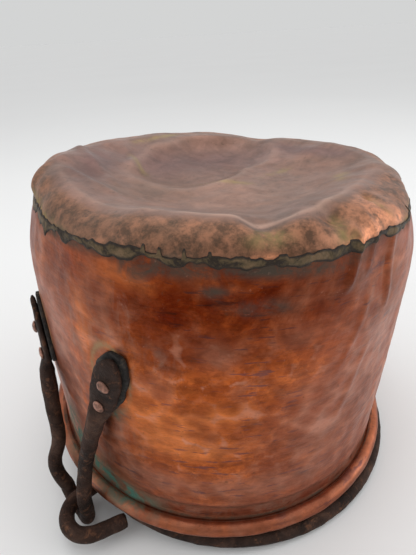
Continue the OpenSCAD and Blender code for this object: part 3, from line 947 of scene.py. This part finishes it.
def ear(side_name, material):
    side = SIDES[side_name]
    path = ear_path()
    along = lengths(path)
    from_tip = np.minimum(along, along[-1] - along)
    half_w = np.interp(from_tip, [0, 2, 5, 10, 18, 30, 42, 51, 66, 90],
                       [2.2, 4.2, 6.2, 8.4, 9.7, 9.7, 8.2, 6.2, 5.6, ROD_R])
    half_t = np.interp(from_tip, [0, 1.5, 4, 38, 44, 51, 66, 90],
                       [1.0, 1.7, 2.0, 2.0, 2.8, 4.8, 5.4, ROD_R])
    power = np.interp(from_tip, [0, 38, 55], [3.2, 3.2, 2.0])
    outward = path.copy()
    outward[:, 2] = 0
    if side < 0:
        mirror = np.array([-1, 1, 1])
        path, outward = (path * mirror)[::-1], (outward * mirror)[::-1]
        half_w, half_t, power = half_w[::-1], half_t[::-1], power[::-1]
    obj = sweep(f"{side_name}_ear_forging", path, outward, half_w, half_t, power, material, 60 + side,
                curve_r=WALL_LOW_R, around=32)
    finish_piece(obj, "vessel", "iron", f"{side_name}_ear")


PLATE_OUTLINE = [(-6, -21), (7.5, -23), (11.5, -19), (11.5, -9), (10.8, 3), (9.6, 12), (6.5, 20),
                 (2.5, 23.5), (-4, 23.8), (-8.8, 17), (-11.2, 6), (-11, -6), (-8.5, -15)]


def plate(side_name, end_name, material, seed):
    """A backing plate of rough scaled iron, lying on the wall under a foot."""
    side, end = SIDES[side_name], ENDS[end_name]
    closed = [(x, y, 0) for x, y in PLATE_OUTLINE + PLATE_OUTLINE[:1]]
    edge = catmull(closed, 1.2)[:-1, :2]
    n = len(edge)
    u = np.arange(n) / n
    zero = np.zeros(n)
    ragged = 1 + 0.05 * smooth_noise(u, zero, 11, 2, seed) + 0.04 * smooth_noise(u, zero, 33, 2, seed + 1)
    edge = edge * ragged[:, None]
    layers = [(share, BACKING_T) for share in (0.25, 0.5, 0.75, 0.93)]  # share of the outline, lift
    layers += [(0.99, BACKING_T - 0.4), (1.0, BACKING_T / 2), (0.99, -0.2), (0.75, -0.3), (0.4, -0.3)]
    points = []
    for share, lift in layers:
        for i, (x, y) in enumerate(edge * share):
            bumps = 0.16 * smooth_noise(u[i], share, 17, 6, seed + 2) * (lift > 1.5)
            points.append(foot_point(end, x, y, lift + bumps))
    points.append(foot_point(end, 0, 0, BACKING_T))
    points.append(foot_point(end, 0, 0, -0.3))
    points = np.array(points)
    faces = closed_faces(len(layers), n)
    points[:, 0] *= side
    if side * end > 0:
        faces = [f[::-1] for f in faces]
    node = f"{side_name}_{end_name}_backing_plate"
    obj = new_piece(f"{node}_scale", points, faces, material)
    finish_piece(obj, "vessel", "plate_iron", node)


def rivet(side_name, end_name, level_name, material, seed):
    """A hand-set rivet: worn uneven head, shank and a flat tail inside the wall."""
    side, end = SIDES[side_name], ENDS[end_name]
    level = RIVET_LEVELS[level_name]
    angle = math.radians(FOOT_ANGLE[end]) + level * math.tan(FOOT_LEAN) / WALL_LOW_R
    z = FOOT_Z[end] + level
    seat = smooth_wall_r(z) + BACKING_T + FOOT_T
    inside = smooth_wall_r(z) - SHEET
    head = [(0.6, 2.1), (1.8, 2.0), (2.8, 1.65), (3.5, 1.2), (RIVET_R, 0.7), (RIVET_R, 0.25), (3.7, -0.1)]
    tail = [(2.5, 0), (3.5, -0.1), (3.5, -0.9), (2.9, -1.35), (1.4, -1.4)]
    profile = [(r, seat + out) for r, out in head + [(2.5, -0.1)]] + [(r, inside + out) for r, out in tail]
    around = 28
    a = np.arange(around) * 2 * math.pi / around
    u = np.arange(around) / around
    direction = np.array([math.cos(angle), end * math.sin(angle), 0])
    flat = np.array([-end * math.sin(angle), math.cos(angle), 0])
    points = []
    for i, (r, out) in enumerate(profile):
        worn = 1 + (0.09 * smooth_noise(u, np.full(around, i / 13), 5, 4, seed) if i < 7 else 0)
        sink = 0.18 * smooth_noise(u, np.full(around, i / 13), 4, 4, seed + 1) if i < 5 else 0
        ring = (direction * out + np.outer(np.cos(a) * r * worn, flat)
                + np.outer(np.sin(a) * r * worn, [0, 0, 1]) + np.outer(np.ones(around) * sink, direction))
        points.extend(ring + np.array([0, 0, z]))
    points.append(direction * (profile[0][1] + 0.02) + [0, 0, z])
    points.append(direction * (profile[-1][1]) + [0, 0, z])
    points = np.array(points)
    faces = closed_faces(len(profile), around)
    points[:, 0] *= side
    if side > 0:
        faces = [f[::-1] for f in faces]
    node = f"{side_name}_{end_name}_{level_name}_rivet"
    obj = new_piece(f"{node}_worn", points, faces, material)
    finish_piece(obj, "vessel", "rivet_copper", node)


# ---- Bail ----

def arc(centre, radius, start, end, step=1.6):
    """Points on a flat arc, angles in radians, from start to end."""
    n = max(3, int(abs(end - start) * radius / step))
    a = np.linspace(start, end, n)
    return [[centre[0] + radius * math.cos(t), centre[1] + radius * math.sin(t)] for t in a]


def bail(material):
    approach = math.asin(BAIL_BEND / (BAIL_R + BAIL_BEND))
    bend_x = math.sqrt((BAIL_R + BAIL_BEND) ** 2 - BAIL_BEND ** 2)
    last = -math.pi / 2 + HOOK_SPLAY
    end = arc((bend_x, -BAIL_BEND), BAIL_BEND, math.pi - approach, math.pi / 2)
    end += [[x, 0] for x in np.arange(bend_x + 1.6, HOOK_X - 1, 1.6)]
    end += arc((HOOK_X, -HOOK_R), HOOK_R, math.pi / 2, last)
    start = np.array(end[-1])
    tail = np.array([-math.cos(HOOK_SPLAY), -math.sin(HOOK_SPLAY)])
    end += [list(start + tail * s) for s in np.arange(1.6, TAIL_LEN + 0.1, 1.6)]
    right = np.array(arc((0, 0), BAIL_R, -math.pi / 2, -approach)[:-1] + end)
    left = right[1:][::-1] * np.array([-1, 1])
    flat = np.vstack([left, right])
    path = np.column_stack([flat, np.zeros(len(flat))]) + np.array([0, HINGE_Y, HINGE_Z])
    n = len(path)
    normals = np.tile([0.0, 0.0, 1.0], (n, 1))
    size = np.full(n, BAIL_ROD_R - 0.02)
    size[:3] -= [0.7, 0.3, 0.1]
    size[-3:] -= [0.1, 0.3, 0.7]
    obj = sweep("forged_bail", path, normals, size, size, np.full(n, 2.1), material, 71, rough=0.2)
    finish_piece(obj, "bail", "iron", "bail")


# ---- Floor, light and camera ----

def stance():
    """The floor's tilt and distance, from the ear loops' front corners and the bail's front."""
    loop_y = (LOOP_SHIFT - LOOP_HALF + LOOP_BEND) * MM
    loop_z = (ROD_R + LOOP_BEND) * MM
    bail_y = (HINGE_Y - BAIL_R) * MM
    tilt = 0.09
    for _ in range(20):
        reach = loop_z - BAIL_ROD_R * MM + (HINGE_Z * MM - loop_z) * math.cos(tilt)
        tilt = math.asin(reach / (loop_y - bail_y))
    offset = loop_y * math.sin(tilt) + loop_z * (math.cos(tilt) - 1)
    return tilt, offset


def floor_and_backdrop():
    tilt, offset = stance()
    normal = Vector((0, math.sin(tilt), math.cos(tilt)))
    segments, reach = 96, 60.0
    turns = [2 * math.pi * i / segments for i in range(segments)]
    points = [(0, 0, 0)] + [(reach * math.cos(t), reach * math.sin(t), 0) for t in turns]
    mesh = bpy.data.meshes.new("floor")
    mesh.from_pydata(points, [], [(0, 1 + i, 1 + (i + 1) % segments) for i in range(segments)])
    mesh.materials.append(plain("floor", (0.83, 0.835, 0.835), 0.9))
    floor = put("floor", mesh)
    lean = Vector((0, 0, 1)).rotation_difference(normal).to_matrix().to_4x4()
    floor.matrix_world = Matrix.Translation(normal * offset) @ lean


BRIGHT_SIDE = (0.62, 0.62, 0.48)
DIM, BRIGHT = 0.42, 0.90
BACKDROP = (0.652, 0.658, 0.657, 1)  # as the far floor comes out
LIGHTS = [  # name, place, aim, size, power, all in metres and watts
    ("top_light", (0.25, 0.35, 1.3), (0, 0, 0.1), (1.4, 1.4), 5),
    ("left_light", (-1.2, 0.35, 0.7), (0, 0, 0.12), (0.9, 1.1), 3.4),
    ("right_light", (0.9, -0.9, 0.6), (0, 0, 0.12), (1.1, 1.1), 6),
]
EYE = (-0.2036, -0.2108, 0.3202)
LOOK = (0.5672, 0.6238, -0.5377)
ACROSS = (0.7436, -0.6686, 0.0087)
SENSOR, LENS = 36, 29.18919


def world_light():
    """Soft light from above and behind, darker from the front; the camera sees plain pale grey."""
    world = bpy.data.worlds.new("studio")
    bpy.context.scene.world = world
    world.use_nodes = True
    tree = world.node_tree
    nodes, links = tree.nodes, tree.links
    background = nodes["Background"]
    coords = nodes.new("ShaderNodeTexCoord")
    dot = nodes.new("ShaderNodeVectorMath")
    dot.operation = "DOT_PRODUCT"
    dot.inputs[1].default_value = BRIGHT_SIDE
    ramp = nodes.new("ShaderNodeMapRange")
    for name, value in (("From Min", -0.75), ("From Max", 0.55), ("To Min", DIM), ("To Max", BRIGHT)):
        ramp.inputs[name].default_value = value
    path = nodes.new("ShaderNodeLightPath")
    mix = nodes.new("ShaderNodeMix")
    mix.data_type = "RGBA"
    mix.inputs["B"].default_value = BACKDROP
    links.new(coords.outputs["Generated"], dot.inputs[0])
    links.new(dot.outputs["Value"], ramp.inputs["Value"])
    links.new(ramp.outputs["Result"], mix.inputs["A"])
    links.new(path.outputs["Is Camera Ray"], mix.inputs["Factor"])
    links.new(mix.outputs["Result"], background.inputs["Color"])


def softbox(name, place_at, look_at, size, power):
    light = bpy.data.lights.new(name, "AREA")
    light.shape = "RECTANGLE"
    light.size, light.size_y = size
    light.energy = power
    obj = put(name, light)
    obj.location = place_at
    obj.rotation_euler = (Vector(look_at) - Vector(place_at)).to_track_quat("-Z", "Y").to_euler()


def camera():
    forward = Vector(LOOK).normalized()
    right = Vector(ACROSS)
    up = right.cross(forward).normalized()
    right = forward.cross(up)
    data = bpy.data.cameras.new("camera")
    data.sensor_width = SENSOR
    data.lens = LENS
    data.clip_start = 0.01
    obj = put("camera", data)
    turn = Matrix((right, up, -forward)).transposed()
    obj.matrix_world = Matrix.Translation(EYE) @ turn.to_4x4()
    bpy.context.scene.camera = obj


def build():
    camera()
    iron, plates, rivets = forged_iron(), scaled_plate(), rivet_metal()
    braze = braze_metal()
    side_wall(wall_copper())
    base_pan(base_copper())
    base_seam(braze)
    side_seam(braze)
    rim_wire(iron)
    seed = 100
    for side_name in SIDES:
        ear(side_name, iron)
        for end_name in ENDS:
            plate(side_name, end_name, plates, seed)
            for level_name in RIVET_LEVELS:
                rivet(side_name, end_name, level_name, rivets, seed + 5)
                seed += 10
    bail(iron)
    floor_and_backdrop()
    world_light()
    for light in LIGHTS:
        softbox(*light)
    bpy.context.scene.view_settings.view_transform = "Standard"


build()
